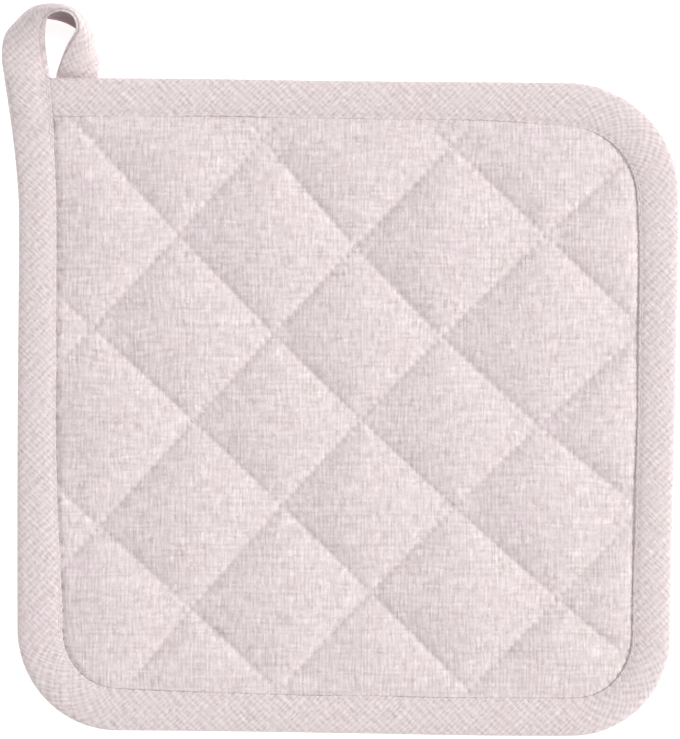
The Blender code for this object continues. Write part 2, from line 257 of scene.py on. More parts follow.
# One plain weave of uneven yarn makes the panels and, coarser and cut on the bias, the tape.
weave = {
    "finish": {
        "Roughness": 0.92, "Specular IOR Level": 0.25, "Sheen Weight": 0.12, "Sheen Roughness": 0.5
    },
    "warpPitch": 1.15,
    "weftPitch": 1.74,
    "wander": 2.2,  # how far a thread strays sideways
    "wanderSize": 24.0,
    "unevenWidth": 1.4,
    "widthChange": 0.55,  # how soon the width changes
    "pinkGround": (0.731, 0.633, 0.645),
    "greyGround": (0.722, 0.644, 0.639),
    "toneTint": (0.92, 1.04, 1.045),  # dark threads are a little pinker than light ones
    "patchSize": 13.0,
    "patchEdge": 0.12,
    "mingling": 3.0,  # how sharply warp and weft take turns on top
    "topShare": (0.25, 0.75),  # the least and the most of the warp's tone that shows
    "toneScale": 1.42,  # over 1, a thread's two sides differ too
    "toneHeight": 1.6,  # light threads stand higher
    "warpContrast": 0.62,  # how much lighter or darker one thread is than the next
    "weftContrast": 0.44,
    "crossing": 0.45,  # how much lower the cloth is away from the middle of a crossing
    "middleCrown": 0.75,
    "fuzz": 0.10,
    "fuzzSize": 0.6,
    "plainSpots": 1.2,  # the weave shows more in some spots than in others
    "plainSpotSize": 6.0,
    "bumpHeight": 0.07,
    "paintedLoopShade": (0.35, 0.28, 0.29),  # painted shade: the inside of the loop is painted this dark at its darkest
    "paintedStripLight": 0.16,  # and painted light makes the turned-in edge beside its opening this much lighter
}


def weaveGroup():
    group = bpy.data.node_groups.new("plainWeave", "ShaderNodeTree")
    addSockets(group, "INPUT", Vector=("Vector",), Float=("Contrast", "Slub Length", "Hollow Shade"))
    addSockets(group, "OUTPUT", Color=("Colour",), Float=("Height",))
    start, contrast, slubLength, hollowShade = addNode(group, "NodeGroupInput").outputs[:4]

    def noise(vector, detail=1.0):
        # about 0, mostly within -0.25 and 0.25
        node = output(group, "ShaderNodeTexNoise", {"Vector": vector, "Scale": 1.0, "Detail": detail})
        return maths(group, "SUBTRACT", node, 0.5)

    def shrunk(size):
        return scaled(group, start, 1.0 / size)

    strayed = {"Vector": shrunk(weave["wanderSize"]), "Scale": 1.0, "Detail": 2.0}
    strayed = addNode(group, "ShaderNodeTexNoise", strayed).outputs["Color"]
    strayed = vectorMaths(group, "MULTIPLY_ADD", strayed, (weave["wander"], weave["wander"], 0.0), start)
    place = addNode(group, "ShaderNodeSeparateXYZ", {0: strayed}).outputs

    def threadPlace(along, pitch, row):
        # counts the threads, with threads of uneven width
        even = maths(group, "DIVIDE", along, pitch)
        uneven = noise(combined(group, maths(group, "MULTIPLY", even, weave["widthChange"]), row))
        return maths(group, "MULTIPLY_ADD", uneven, weave["unevenWidth"], even)

    warp = threadPlace(place[0], weave["warpPitch"], 3.7)
    weft = threadPlace(place[1], weave["weftPitch"], 57.2)
    warpSide, weftSide = (maths(group, "MULTIPLY", number, weave["toneScale"]) for number in (warp, weft))
    warpTone = noise(combined(group, warpSide, maths(group, "DIVIDE", place[1], slubLength), 2.0), 2.0)
    weftTone = noise(combined(group, maths(group, "DIVIDE", place[0], slubLength), weftSide, 9.0), 2.0)
    warpTone = maths(group, "MULTIPLY", warpTone, weave["warpContrast"])
    weftTone = maths(group, "MULTIPLY", weftTone, weave["weftContrast"])

    # the sign of this wave says which thread is on top, its size how high the thread stands there
    warpWave, weftWave = (maths(group, "SINE", maths(group, "MULTIPLY", n, math.pi)) for n in (warp, weft))
    wave = maths(group, "MULTIPLY", warpWave, weftWave)
    top = maths(group, "MULTIPLY_ADD", wave, weave["mingling"] / 2, 0.5)
    least, most = weave["topShare"]
    top = output(group, "ShaderNodeClamp", {0: top, 1: least, 2: most})
    tone = output(group, "ShaderNodeMix", {0: top, 2: weftTone, 3: warpTone})
    tone = maths(group, "MULTIPLY", tone, 2.0)
    warpRound, weftRound = (maths(group, "ABSOLUTE", w) for w in (warpWave, weftWave))
    both = maths(group, "MULTIPLY", warpRound, weftRound)
    both = maths(group, "MULTIPLY_ADD", both, weave["crossing"], 1.0 - weave["crossing"])
    crown = maths(group, "MULTIPLY", maths(group, "MAXIMUM", warpRound, weftRound), both)
    height = maths(group, "MULTIPLY_ADD", tone, weave["toneHeight"], crown)

    patch = noise(shrunk(weave["patchSize"]), 3.0)
    edge = weave["patchEdge"]
    patch = output(group, "ShaderNodeMapRange", {0: patch, 1: -edge, 2: edge})
    grounds = ((*weave[name], 1.0) for name in ("pinkGround", "greyGround"))
    ground = mixColours(group, "MIX", patch, *grounds)
    fuzz = noise(shrunk(weave["fuzzSize"]), 2.0)
    light = maths(group, "MULTIPLY_ADD", fuzz, weave["fuzz"] * 2.0, tone)
    clear = maths(group, "MULTIPLY_ADD", noise(shrunk(weave["plainSpotSize"])), weave["plainSpots"], 1.0)
    change = maths(group, "MULTIPLY", light, maths(group, "MULTIPLY", contrast, clear))
    hollow = maths(group, "MULTIPLY", maths(group, "SUBTRACT", crown, weave["middleCrown"]), clear)
    change = maths(group, "MULTIPLY_ADD", hollow, hollowShade, change)
    colour = vectorMaths(group, "MULTIPLY_ADD", scaled(group, weave["toneTint"], change), ground, ground)
    addNode(group, "NodeGroupOutput", {0: colour, 1: height})
    return group


weaveTree = weaveGroup()


def clothMaterial(name, turn, coarseness, contrast, slubLength, hollowShade):
    material, tree, shader = newMaterial(name, weave["finish"])
    uv = output(tree, "ShaderNodeUVMap", uv_map="weave")
    scale = 1.0 / (mm * coarseness)
    turned = {"Vector": uv, "Rotation": (0.0, 0.0, math.radians(turn)), "Scale": (scale, scale, scale)}
    given = {
        "Vector": output(tree, "ShaderNodeMapping", turned),
        "Contrast": contrast, "Slub Length": slubLength, "Hollow Shade": hollowShade,
    }
    cloth = addNode(tree, "ShaderNodeGroup", given, node_tree=weaveTree).outputs
    # painted shade inside the loop and painted light on its turned-in edge darken or lighten the cloth's
    # colour
    shade = addNode(tree, "ShaderNodeAttribute", attribute_name="paintedShadeAndLight").outputs["Fac"]
    darker = tuple(part - 1.0 for part in weave["paintedLoopShade"])
    inside = vectorMaths(tree, "ADD", scaled(tree, darker, shade), (1.0, 1.0, 1.0))
    colour = mixColours(tree, "MULTIPLY", 1.0, cloth["Colour"], inside)
    tree.links.new(colour, shader.inputs["Base Color"])
    distance = weave["bumpHeight"] * contrast * mm
    bump = {"Height": cloth["Height"], "Strength": 1.0, "Distance": distance}
    tree.links.new(output(tree, "ShaderNodeBump", bump), shader.inputs["Normal"])
    return material


panelCloth = clothMaterial("panelCloth", 0.0, 1.0, 1.0, 5.0, 0.07)
tapeCloth = clothMaterial("tapeCloth", 45.0, 1.10, 0.72, 1.6, 0.24)
print("cloth made")


# The bias tape, folded over the square's edge. Its last length makes the loop.
tape = {
    "width": 11.7,
    "half": 2.35,  # half of the bound edge's thickness
    "gap": 1.0,  # half of the slot that holds the pad
    "dome": (  # place across the tape from its fold, and how much of the half thickness is there
        (0.002, 0.16), (0.008, 0.32), (0.02, 0.47), (0.04, 0.60), (0.07, 0.70), (0.11, 0.785),
        (0.16, 0.855), (0.22, 0.91), (0.29, 0.955), (0.37, 0.985), (0.45, 1.0), (0.53, 0.995),
        (0.61, 0.975), (0.69, 0.935), (0.76, 0.885), (0.80, 0.85),
    ),
    "lip": 0.25,  # height of the open edge over the slot, as a share of the cloth there
    "loopLip": 0.50,
    "fallBend": 0.4,  # how much of the fall to the open edge comes at its very end
    "wideSpots": (  # x and y of a corner, how much wider it is there and how far round
        (78.0, 82.0, 1.9, 20.0),
        (-86.0, -68.0, 2.2, 25.0),
    ),
    "fold": 1.2,  # how thick its cloth is inside the fold
    "padClear": 0.3,  # and from there to the pad
    "step": 0.72,  # from one of its rows of points to the next
    "sewnIn": 0.95,  # the stitches are this far in from the open edge
    "stitchPitch": 3.9,
    "unevenStitch": 0.42,  # how far a stitch's place strays, as a share of its length
    "unevenOver": 10.0,
    "dip": 0.05,  # how far the stitches press it down, and how much further at their holes
    "holeDip": 0.30,
    "holeSize": 0.6,
    "pressed": (  # place from the stitches towards the fold, and how much of the dip is there
        (0.8, 0.0), (0.35, 0.6), (0.0, 1.0), (-0.3, 0.6), (-0.55, 0.2),
    ),
    "puff": 0.06,  # the open edge lies higher between the stitches
    "edgeBend": 0.18,  # where the open edge turns down, then in and down, its nose, in and up
    "edgeTop": (0.02, 0.10),
    "edgeNose": 0.35,
    "edgeUnder": (0.12, 0.02),
    "slotFrom": 0.3,  # the slot's flat wall starts this far inside the open edge
    "slotSteps": (0.12, 0.4, 0.7, 1.0),
    "lumpHeight": 0.07,
    "lumpSize": 5.0,
    "edgeWander": 0.22,
    "wanderSize": 15.0,
    "scallop": 0.10,  # the open edge is drawn in at each stitch
    "seamRow": 19,  # the stitches' place among the rows of points from the fold to the open edge
}

loop = {
    "wrapStart": -18.5,  # below the corner the tape begins to widen over its own start
    "wrapWide": -11.9,
    "wrapStep": 0.6,
    "wrapHalf": 3.7,
    "wrapGap": 2.8,
    "gap": 0.28,
    "partRise": 0.4,  # where it parts from the square: how far above, its slot and its shortfall
    "partSlot": 5.0,
    "partShort": 1.2,
    "rowsBetween": 16,
    "rows": (
        # folded edge x, y, z, open edge x, y, its rise, half, curl, front layer's shortfall, gap,
        # slot and painted shade; places are from the top left corner
        ("left leg, low", -4.9, 8.2, 3.4, 8.9, 7.7, 0.6, 1.6, 0.3, 1.7, 0.18, 4.0, 0.0),
        ("left leg, high", -3.5, 15.4, 2.4, 8.3, 13.8, 3.6, 1.4, 1.3, 1.4, 0.15, 2.5, 0.0),
        ("left shoulder", 2.4, 20.0, 0.9, 9.3, 19.4, 10.4, 1.4, 1.8, 0.4, 0.05, 0.7, 0.0),
        ("top", 10.6, 19.7, 0.4, 13.6, 21.4, 13.4, 1.4, 1.7, 0.15, 0.05, 0.5, 0.8),
        ("top right", 16.6, 17.6, 0.4, 17.6, 20.0, 13.4, 1.4, 1.7, 0.1, 0.05, 0.5, 1.0),
        ("right shoulder", 21.6, 13.4, 0.5, 18.9, 15.6, 12.4, 1.4, 1.5, 0.1, 0.05, 0.5, 1.0),
        ("right leg, high", 24.6, 7.9, 0.9, 15.4, 10.2, 7.4, 1.3, 0.9, 0.1, 0.05, 0.5, 0.3),
        ("right leg, low", 24.6, 3.4, 1.2, 12.8, 5.0, 3.4, 1.1, 0.3, 0.1, 0.05, 0.5, 0.0),
        ("at the edge", 24.3, -0.6, 1.2, 11.5, 0.9, 0.5, 0.95, 0.0, 0.1, 0.05, 0.5, 0.0),
        ("tail end", 23.5, -11.0, 1.2, 11.0, -11.0, 0.0, 0.95, 0.0, 0.1, 0.05, 0.5, 0.0),
    ),
    "shadeFrom": 0.6,  # the painted shade inside it starts this far from its open edge
    "shadeFades": (1.0, 2.0),  # and fades out towards the open edge and the fold
    "stripFade": 0.4,
    "stripFrom": 0.2,  # the front layer falls short by more than this where the strip shows and gets painted light
}

# The tape is a table with a row for each of its sections, and these columns.
columns = {
    "folded": slice(0, 3),  # x, y and z of its folded edge, then of its open edge
    "opened": slice(3, 6),
    "half": 6,  # half of its thickness
    "gap": 7,  # half of the slot inside it, and how deep that goes
    "slot": 8,
    "curl": 9,  # how far its middle bows out
    "short": 10,  # how much narrower its front layer is
    "sewn": 11,  # 1 where it is sewn to the pad
    "shade": 12,  # painted shade, 1 where it faces the loop's opening
}


def widerTape(x, y):
    # the tape covers this much more of the pad where it was eased round two of the corners
    return sum(
        more * np.exp(-((x - middleX) ** 2 + (y - middleY) ** 2) / (2 * spread**2))
        for middleX, middleY, more, spread in tape["wideSpots"]
    )


def pastTape(x, y):
    # how far a point is inside the tape's open edge
    x, y = toTrueSquare(x, y)
    radii = square["radii"]
    radius = np.where(
        y > 0,
        np.where(x > 0, radii["top right"], radii["top left"]),
        np.where(x > 0, radii["bottom right"], radii["bottom left"]),
    )
    outX = np.abs(x) - square["width"] / 2 + radius
    outY = np.abs(y) - square["height"] / 2 + radius
    outside = np.hypot(np.maximum(outX, 0.0), np.maximum(outY, 0.0))
    inside = radius - outside - np.minimum(np.maximum(outX, outY), 0.0)
    return inside - tape["width"] - widerTape(x, y)


def stitchTurn(along):
    # counts the stitches along the tape, whose lengths are a little uneven
    uneven = softNoise(along, 0.0 * along, tape["unevenOver"], 35)
    return along / tape["stitchPitch"] + tape["unevenStitch"] * uneven


def fromHole(along):
    turn = stitchTurn(along)
    return (turn - np.round(turn)) * tape["stitchPitch"]


def boundRows(corner):
    # the tape round the square, up to the corner that it wraps
    points, inward = outlinePoints(0.0, tape["step"])
    points[0, 0] += tape["fold"] + tape["padClear"]
    keep = ~((inward[:, 0] > 0.99) & (points[:, 1] > corner[1] + loop["wrapStart"]))
    heights = np.arange(loop["wrapStart"], 0.01, loop["wrapStep"])
    wrap = np.stack((np.full_like(heights, corner[0]), corner[1] + heights), axis=1)
    points = np.vstack((points[keep], wrap))
    inward = np.vstack((inward[keep], np.tile((1.0, 0.0), (len(heights), 1))))
    part = limited((heights - loop["wrapStart"]) / (loop["wrapWide"] - loop["wrapStart"]))
    widened = np.concatenate((np.zeros(keep.sum()), part * part * (3.0 - 2.0 * part)))
    ends = []
    for reach in (0.0, tape["width"] + widerTape(*(points + inward * tape["width"]).T)[:, None]):
        x, y = fromTrueSquare(*(points + inward * reach).T)
        ends.append(np.stack((x, y, square["seamHeight"] + cornerLift(x, y)), axis=1))
    nought = np.zeros(len(points))
    return np.column_stack((
        *ends,
        tape["half"] + (loop["wrapHalf"] - tape["half"]) * widened,
        tape["gap"] + (loop["wrapGap"] - tape["gap"]) * widened,
        np.linalg.norm(ends[1] - ends[0], axis=1) - tape["fold"],
        nought, nought, nought + 1.0, nought,
    ))


def tapeRows():
    corner = np.array((-square["width"] / 2, square["height"] / 2, 0.0))
    bound = boundRows(corner)
    first = bound[-1].copy()
    for name, value in (("gap", "gap"), ("slot", "partSlot"), ("short", "partShort")):
        first[columns[name]] = loop[value]
    for edge in ("folded", "opened"):
        first[columns[edge]] += (0.0, loop["partRise"], 0.0)
    marks = [bound[-2], first]
    for _, fx, fy, fz, ox, oy, rise, half, curl, short, gap, slot, shade in loop["rows"]:
        folded = corner + (fx, fy, fz)
        opened = corner + (ox, oy, fz + rise)
        marks.append(np.array((*folded, *opened, half, gap, slot, curl, short, 0.0, shade)))
    marks.append(marks[-1])
    rows = list(bound)
    for index in range(1, len(marks) - 2):
        near = marks[index - 1:index + 3]
        rows += [cubic(*near, step / loop["rowsBetween"]) for step in range(loop["rowsBetween"])]
    rows.append(marks[-1])
    rows = np.array(rows)
    middles = (rows[:, columns["folded"]] + rows[:, columns["opened"]]) / 2
    along = np.concatenate(((0.0,), np.cumsum(np.linalg.norm(np.diff(middles, axis=0), axis=1))))
    stations = np.linspace(0.0, along[-1], round(along[-1] / tape["step"]) + 1)
    return np.column_stack([np.interp(stations, along, values) for values in rows.T]), stations


def skin(rows, width, along, side):
    # one face of the tape from its fold to its open edge, then back inside to the slot's floor
    half, gap, slot, short, sewn = (
        rows[:, columns[name]] for name in ("half", "gap", "slot", "short", "sewn")
    )
    if side > 0:
        width = width - short
    sections = [(width * share, half * level) for share, level in tape["dome"]]
    domeEnd, domeLevel = tape["dome"][-1]
    edgeLevel, fallWidth = half * domeLevel, width * (1.0 - domeEnd)
    lipTop = gap + (tape["loopLip"] + (tape["lip"] - tape["loopLip"]) * sewn) * (half - gap)

    def skinHeight(fromEdge):
        # from the dome's last place to the open edge
        part = 1.0 - fromEdge / fallWidth
        return edgeLevel + (lipTop - edgeLevel) * part * (1.0 - tape["fallBend"] * (1.0 - part))

    dip = tape["dip"] + tape["holeDip"] * bell(fromHole(along), tape["holeSize"])
    sewnIn, bend = tape["sewnIn"], tape["edgeBend"]
    for back, depth in tape["pressed"]:
        sections.append((width - sewnIn - back, skinHeight(sewnIn + back) - dip * depth * sewn))
    puff = tape["puff"] * np.cos(2 * np.pi * stitchTurn(along)) * sewn
    topIn, topDown = tape["edgeTop"]
    underIn, underUp = tape["edgeUnder"]
    sections += [
        (width - bend, skinHeight(bend) - puff),
        (width - topIn, lipTop - topDown - puff),
        (width, gap + tape["edgeNose"] * (lipTop - gap)),
        (width - underIn, gap + underUp),
    ]
    start = tape["slotFrom"]
    sections += [(width - start - (slot - start) * share, gap) for share in tape["slotSteps"]]
    return [(inward, side * level) for inward, level in sections]


def paintedLoopShading(rows, width, fromFold):
    # painted shade, 1 on the side that faces the loop's opening where the loop shades itself, and painted
    # light, below 0, on the turned-in edge beside it
    atEdge, atFold = loop["shadeFades"]
    loopShadeMask = limited(rows[:, columns["shade"]])[None]
    loopShadeMask = loopShadeMask * limited((width - loop["shadeFrom"] - fromFold) / atEdge)
    loopShadeMask = loopShadeMask * limited(fromFold / atFold)
    stripLightMask = limited((fromFold - width) / loop["stripFade"])
    stripLightMask = stripLightMask * limited(rows[:, columns["short"]] - loop["stripFrom"])
    return loopShadeMask - weave["paintedStripLight"] * stripLightMask


def makeTape():
    rows, along = tapeRows()
    folded, opened, sewn = (rows[:, columns[name]] for name in ("folded", "opened", "sewn"))
    across = opened - folded
    width = np.linalg.norm(across, axis=1)
    outward = np.cross(across, np.gradient((folded + opened) / 2, axis=0))
    outward /= np.linalg.norm(outward, axis=1, keepdims=True)
    across = across / width[:, None]
    wander = tape["edgeWander"] * softNoise(along, np.zeros_like(along), tape["wanderSize"], 21)
    wander = (wander - tape["scallop"] * np.cos(2 * np.pi * stitchTurn(along))) * sewn
    front, back = skin(rows, width, along, 1.0), skin(rows, width, along, -1.0)
    ring = [*reversed(front), (np.zeros(len(rows)), np.zeros(len(rows))), *back]
    folds = len(front)
    spots = []
    for inward, up in ring:
        part = inward / width
        bow = rows[:, columns["curl"]] * 4.0 * part * (1.0 - part)
        inward = inward + wander * part**3
        spots.append(folded + across * inward[:, None] + outward * (up + bow)[:, None])
    spots = np.array(spots)  # ring place, row, xyz
    steps = np.linalg.norm(np.diff(spots, axis=0), axis=2)
    fromFold = np.concatenate((np.zeros((1, len(rows))), np.cumsum(steps, axis=0)))
    fromFold -= fromFold[folds]
    alongRing = np.tile(along, (len(ring), 1))
    lumps = tape["lumpHeight"] * softNoise(alongRing, fromFold, tape["lumpSize"], 31)
    lumps = lumps * (np.abs(fromFold) < width + 1.0) * -np.sign(fromFold)  # none inside the slot
    spots += outward[None] * lumps[:, :, None]

    points = spots.transpose(1, 0, 2).reshape(-1, 3)
    points = np.vstack((points, spots[:, 0].mean(axis=0), spots[:, -1].mean(axis=0)))
    points[:, 2] = np.maximum(points[:, 2], 0.02)
    uv = np.stack((alongRing, fromFold), axis=2).transpose(1, 0, 2).reshape(-1, 2)
    uv = np.vstack((uv, (along[0], 0.0), (along[-1], 0.0)))
    paintedShadeAndLight = np.append(paintedLoopShading(rows, width, fromFold).T.reshape(-1), (0.0, 0.0))
    count = len(ring)
    lastBase = (len(rows) - 1) * count
    faces = []
    for base in range(0, lastBase, count):
        for index in range(count):
            after = (index + 1) % count
            faces.append((base + index, base + after, base + count + after, base + count + index))
    for index in range(count):  # the tape's two ends
        after = (index + 1) % count
        faces.append((index, after, len(points) - 2))
        faces.append((lastBase + index, lastBase + after, len(points) - 1))
    return meshObject("boundTape", points, faces, tapeCloth, uv, paintedShadeAndLight), rows, along, spots, folds


tapePiece, tapeTable, tapeAlong, tapeSpots, foldIndex = makeTape()


# The quilted pad, whose seams form a lattice of diamonds.
quilt = {
    "origin": (-51.8, 51.9),
    "stepDownLeft": (-26.7, -27.8),  # from one falling seam to the next
    "stepDownRight": (28.4, -27.5),  # from one rising seam to the next
    "fallingSeams": (  # number, then how far it strays at its rising stations 0, 2 and 4
        (-2, -0.3, -1.4, -1.2),
        (-1, -1.2, 4.2, -0.6),
        (0, -0.8, 1.0, -1.5),
        (1, -0.9, -2.0, -1.0),
        (2, 4.5, 1.3, 0.8),
    ),
    "risingSeams": (  # number, then how far it strays at its falling stations -2, 0 and 2
        (0, -4.5, -1.0, 0.2),
        (1, 0.9, 1.4, 3.8),
        (2, 1.0, -0.8, 1.9),
        (3, 2.7, -1.2, -1.2),
        (4, 0.0, 1.2, 0.2),
    ),
    "seamHalf": 0.95,  # half of the pad's thickness at a seam
    "crownAbove": 3.55,
    "crownBelow": 4.6,
    "fullness": 0.32,  # under 1 makes fuller diamonds with steeper sides
    "valleyRound": 1.6,  # the seam's valley is round this far to each side
    "seamSpacing": 39.0,
    "unevenFilling": 0.05,
    "fillingWaves": ((2.3, 1.0), (1.7, -0.4)),
    "edgeRise": 16.0,  # the pad climbs from the tape to its full height over this distance
    "edgePower": 1.6,
    "edgeShare": 0.10,
    "bankHeight": 0.47,  # the cloth stands up against the tape's open edge
    "bankReach": 2.2,
    "bankStart": -0.17,  # how far inside the tape's edge it begins, and how soon it is up
    "bankRun": 0.26,
    "ditchFrom": (66.0, 84.0),  # further left and right than this it stays lower beside the tape
    "leftReach": 1.3,
    "rightDepth": 0.22,
    "rightReach": 1.7,
    "tackDepth": 0.52,  # the tape's stitches also pull the pad down beside its edge
    "tackShare": 0.15,  # but only this much of it at the top and bottom
    "tackPlace": 0.42,
    "tackSize": (0.62, 0.50),  # along the edge and across it
    "cellSteps": 60,  # points from seam to seam
    "cellGrading": 0.42,  # how much closer they are beside a seam
    "latticeReach": (-3, 6),
    "latticeFrom": 1.2,  # the points follow it from this far inside the tape's edge
    "rimStep": 1.6,
    "rings": (  # rows of points along the tape: how far inside its edge, and how far apart
        (-1.0, 1.1), (-0.15, 0.9), (0.06, 0.8), (0.28, 0.8), (0.55, 0.8), (0.88, 0.8),
    ),
    "seamsFrom": 2.0,  # the seams' own relief is whole this far inside the tape's edge
    "fallingPitch": 2.5,  # stitches along the two directions
    "risingPitch": 2.52,
    "seamOffset": 1.7,  # each seam's stitches start this much further on
    "holeDepth": 0.36,
    "holeSize": 0.46,
    "puckerHeight": 0.24,
    "puckerStart": 0.7,
    "puckerReach": 3.2,
    "puckerShare": (0.65, 0.5),  # of their height, and how uneven
    "puckerChange": 9.0,
    "crossingFade": (1.6, 0.15),  # none where two seams cross
    "rippleHeight": 0.22,  # longer, uneven drags in the cloth that run out from the seams
    "rippleStart": 1.6,
    "rippleReach": 6.5,
    "rippleSize": (3.6, 0.22),  # and how drawn out away from the seam
    "rippleSides": 31.0,  # a seam's two sides differ
    "lumpHeight": 0.11,
    "lumpSizes": (15.0, 6.5),
    "smallLumps": 0.45,
    "lowest": 0.04,  # above the table
}
(leftX, leftY), (rightX, rightY) = quilt["stepDownLeft"], quilt["stepDownRight"]
leftStep, rightStep = math.hypot(leftX, leftY), math.hypot(rightX, rightY)
cellArea = leftX * rightY - rightX * leftY  # with its sign

def stray(rows, stations, line, place):
    table = np.array(rows)
    first, last = table[0, 0], table[-1, 0]
    inside = np.clip(line, first, last - 1e-9)
    low = np.floor(inside - first).astype(int)
    a, b, c = stations
    place = np.clip(place, a - 1.0, c + 1.0)
    weights = (
        (place - b) * (place - c) / ((a - b) * (a - c)),
        (place - a) * (place - c) / ((b - a) * (b - c)),
        (place - a) * (place - b) / ((c - a) * (c - b)),
    )
    ends = [sum(weights[k] * table[index, k + 1] for k in range(3)) for index in (low, low + 1)]
    part = inside - first - low
    return ends[0] * (1.0 - part) + ends[1] * part


def seamShift(falling, rising):
    return (
        stray(quilt["fallingSeams"], (0.0, 2.0, 4.0), falling, rising) / leftStep,
        stray(quilt["risingSeams"], (-2.0, 0.0, 2.0), rising, falling) / rightStep,
    )


def latticePoint(falling, rising):
    shift = seamShift(falling, rising)
    u, v = falling + shift[0], rising + shift[1]
    return quilt["origin"][0] + u * leftX + v * rightX, quilt["origin"][1] + u * leftY + v * rightY


def latticePlace(x, y):
    awayX, awayY = x - quilt["origin"][0], y - quilt["origin"][1]
    evenU = (awayX * rightY - rightX * awayY) / cellArea
    evenV = (leftX * awayY - awayX * leftY) / cellArea
    falling, rising = evenU, evenV
    for _ in range(8):
        shift = seamShift(falling, rising)
        falling, rising = evenU - shift[0], evenV - shift[1]
    return falling, rising


def swell(place, rows):
    # 0 on a seam and 1 in the middle between two
    first, last = rows[0][0], rows[-1][0]
    beyond = np.maximum(first - place, place - last)
    outside = np.sin(np.pi / 2 * limited(2.0 * beyond))
    return np.where(beyond < 0, np.abs(np.sin(np.pi * place)), outside)


def filled(share):
    # the full height's share, rounded off where it starts
    softest = math.sin(math.pi * quilt["valleyRound"] / quilt["seamSpacing"])
    power = quilt["fullness"] / 2
    floor = softest ** (2 * power)
    return ((share**2 + softest**2) ** power - floor) / ((1.0 + softest**2) ** power - floor)


def nearestTack(x, y, inside):
    # near the tape, the distance from its line of stitches and from the nearest needle hole along it
    away = np.abs(inside - quilt["tackPlace"])
    fromTack = np.full(np.shape(x), tape["stitchPitch"] / 2)
    sewn = tapeTable[:, columns["sewn"]] > 0.5
    edgeX, edgeY, _ = tapeTable[sewn][:, columns["opened"]].T
    along = fromHole(tapeAlong[sewn])
    for index in np.flatnonzero(away < 3 * quilt["tackSize"][1]):
        fromTack[index] = along[np.argmin((edgeX - x[index]) ** 2 + (edgeY - y[index]) ** 2)]
    return away, fromTack


def besideTape(x, y, inside):
    # the cloth stands up against the tape's open edge, and the tape's stitches pull it down
    fade = np.exp(-np.maximum(inside, 0.0) / quilt["bankReach"])
    bank = limited((inside - quilt["bankStart"]) / quilt["bankRun"]) * fade
    slope = limited(inside / quilt["leftReach"]) * fade
    low, high = quilt["ditchFrom"]
    atLeft, atRight = (limited((place - low) / (high - low)) for place in (-x, x))
    height = quilt["bankHeight"] * (bank * (1.0 - atLeft - atRight) + slope * atLeft)
    beyond = np.where(inside > 0, inside / quilt["rightReach"], inside / quilt["bankRun"])
    height -= quilt["rightDepth"] * atRight * np.exp(-(beyond**2))
    away, fromTack = nearestTack(x, y, inside)
    tack = np.exp(-((fromTack / quilt["tackSize"][0]) ** 2) - ((away / quilt["tackSize"][1]) ** 2))
    share = quilt["tackShare"]
    return height - quilt["tackDepth"] * tack * (share + (1.0 - share) * (atLeft + atRight))


def besideSeams(line, along, rows, spacing, step, pitch, seed):
    # the needle holes, puckers and drags of the seams of one direction
    nearest = np.clip(np.round(line), rows[0][0], rows[-1][0])
    away, place = np.abs(line - nearest) * spacing, along * step + nearest * quilt["seamOffset"]
    turn = place / pitch
    toHole = (turn - np.round(turn)) * pitch
    hole = np.exp(-(away**2 + toHole**2) / (2 * quilt["holeSize"] ** 2))
    beside = (1.0 - bell(away, quilt["puckerStart"])) * np.exp(-away / quilt["puckerReach"])
    most, less = quilt["crossingFade"]
    beside = beside * limited(most * np.abs(np.sin(np.pi * along)) - less)
    even, uneven = quilt["puckerShare"]
    chance = even + uneven * softNoise(place, away, quilt["puckerChange"], 40 + seed)
    wide = 1.0 - bell(away, quilt["rippleStart"])
    wide = wide * bell(away, quilt["rippleReach"])
    side = np.sign(line - np.round(line)) * quilt["rippleSides"]
    size, drawn = quilt["rippleSize"]
    drags = softNoise(place + side, away * drawn, size, 60 + seed)
    return (
        -quilt["holeDepth"] * hole,
        -quilt["puckerHeight"] * np.cos(2 * np.pi * turn) * beside * chance,
        quilt["rippleHeight"] * drags * wide,
    )


def padRelief(x, y):
    # the share of the full height, and the small unevenness on top of it
    falling, rising = latticePlace(x, y)
    inside = pastTape(x, y)
    climb = (1.0 - limited(inside / quilt["edgeRise"])) ** quilt["edgePower"]
    edge = 1.0 - (1.0 - quilt["edgeShare"]) * climb
    between = filled(swell(falling, quilt["fallingSeams"])) * filled(swell(rising, quilt["risingSeams"]))
    (rateU, startU), (rateV, startV) = quilt["fillingWaves"]
    uneven = quilt["unevenFilling"] * np.sin(rateU * falling + startU) * np.cos(rateV * rising + startV)
    full = (1.0 + uneven) * between * edge
    full = full * limited((inside - quilt["bankStart"]) / (1.5 * quilt["bankRun"]))
    detail = besideTape(x, y, inside)
    inOpen = limited(inside / quilt["seamsFrom"])
    area = abs(cellArea)
    for seed, seams in enumerate((
        (falling, rising, quilt["fallingSeams"], area / rightStep, rightStep, quilt["fallingPitch"]),
        (rising, falling, quilt["risingSeams"], area / leftStep, leftStep, quilt["risingPitch"]),
    )):
        for height in besideSeams(*seams, seed):
            detail += height * inOpen
    large, small = quilt["lumpSizes"]
    lumps = softNoise(x, y, large, 5) + quilt["smallLumps"] * softNoise(x, y, small, 6)
    detail += quilt["lumpHeight"] * lumps * limited(full)
    return full, detail


def padHeight(x, y, side, share=1.0):
    full, detail = padRelief(x, y)
    crown = quilt["crownAbove"] if side > 0 else quilt["crownBelow"]
    rise = (crown - quilt["seamHalf"]) * full * share
    seam = square["seamHeight"] + cornerLift(x, y) + side * quilt["seamHalf"]
    return np.maximum(seam + side * rise + side * detail, quilt["lowest"])


def graded(place, grading):
    return place - grading * np.sin(2.0 * np.pi * place) / (2.0 * np.pi)


def padRing(past, step):
    points, inward = outlinePoints(tape["width"] + past, step)
    points = points + inward * widerTape(*points.T)[:, None]
    return np.stack(fromTrueSquare(*points[:-1].T), axis=1)


